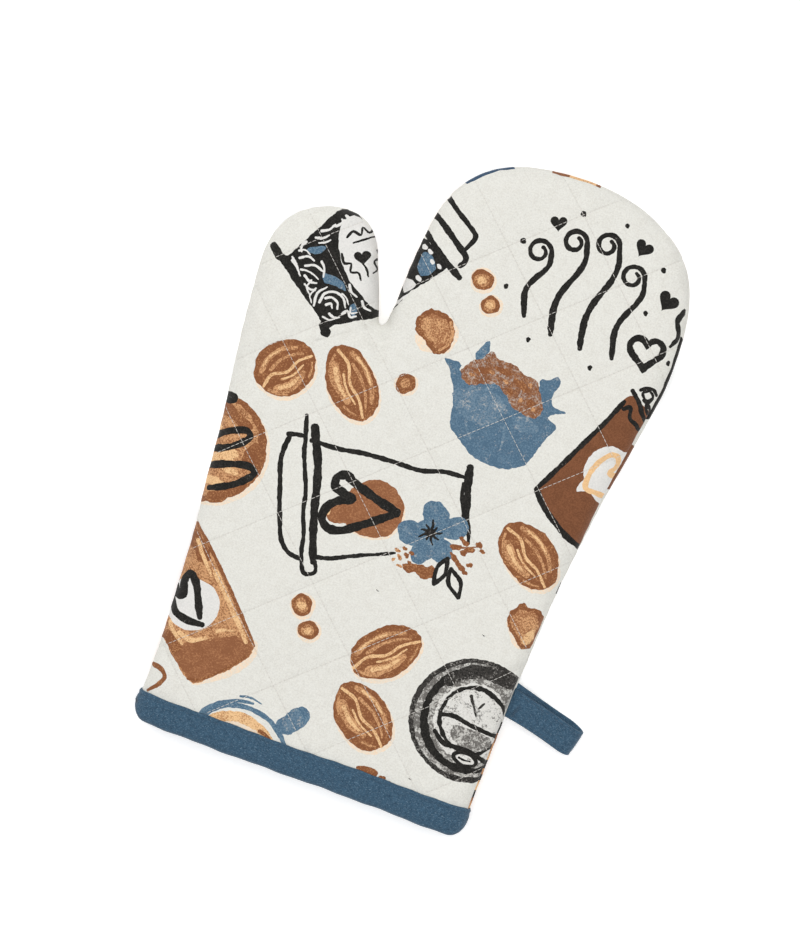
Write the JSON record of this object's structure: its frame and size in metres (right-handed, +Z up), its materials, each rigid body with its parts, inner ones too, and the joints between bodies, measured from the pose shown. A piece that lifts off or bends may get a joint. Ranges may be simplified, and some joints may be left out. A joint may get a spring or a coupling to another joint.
{
  "type": "oven mitt",
  "caption": "Quilted cotton oven mitt with a separate thumb, a bound cuff opening and a folded tape hanging loop, lying flat.",
  "frame": {"origin": "centre of the whole footprint, on the surface the mitt lies on", "axes": "+Z up out of the front panel, +Y along the mitt from the cuff to the fingertips, -X toward the thumb"},
  "size_m": [0.2095, 0.2966, 0.022],
  "materials": {
    "printed_cotton": "plain woven cotton, off-white with coffee print",
    "batting": "needled cotton wadding",
    "lining_cotton": "plain woven cotton",
    "quilting_thread": "fine white thread",
    "seam_thread": "white thread",
    "binding_tape": "denim blue bias tape",
    "binding_thread": "blue thread"
  },
  "bodies": {
    "palm": {"outer_palm_front": "printed_cotton", "outer_palm_back": "printed_cotton", "batting_palm_front": "batting", "batting_palm_back": "batting", "lining_palm_front": "lining_cotton", "lining_palm_back": "lining_cotton", "quilting_palm_front": "quilting_thread", "quilting_palm_back": "quilting_thread", "seam_stitching_palm": "seam_thread", "cuff_binding": "binding_tape", "binding_topstitch": "binding_thread"},
    "fingers": {"outer_fingers_front": "printed_cotton", "outer_fingers_back": "printed_cotton", "batting_fingers_front": "batting", "batting_fingers_back": "batting", "lining_fingers_front": "lining_cotton", "lining_fingers_back": "lining_cotton", "quilting_fingers_front": "quilting_thread", "quilting_fingers_back": "quilting_thread", "seam_stitching_fingers": "seam_thread"},
    "thumb": {"outer_thumb_front": "printed_cotton", "outer_thumb_back": "printed_cotton", "batting_thumb_front": "batting", "batting_thumb_back": "batting", "lining_thumb_front": "lining_cotton", "lining_thumb_back": "lining_cotton", "quilting_thumb_front": "quilting_thread", "quilting_thumb_back": "quilting_thread", "seam_stitching_thumb": "seam_thread"},
    "loop": {"hanging_loop": "binding_tape", "loop_bar_tack": "binding_thread"}
  },
  "joints": [
    {"name": "finger_fold", "type": "hinge", "parent": "palm", "child": "fingers", "pos_m": [0.022, 0.0697, 0.0221], "axis": [1, 0, 0], "range_deg": [0, 70]},
    {"name": "thumb_fold", "type": "hinge", "parent": "palm", "child": "thumb", "pos_m": [-0.0755, 0.04505, 0.0221], "axis": [0.8081, 0.5891, 0], "range_deg": [0, 55]},
    {"name": "loop_swing", "type": "hinge", "parent": "palm", "child": "loop", "pos_m": [0.0707, -0.0823, 0.011], "axis": [0, -1, 0], "range_deg": [-50, 68]}
  ]
}
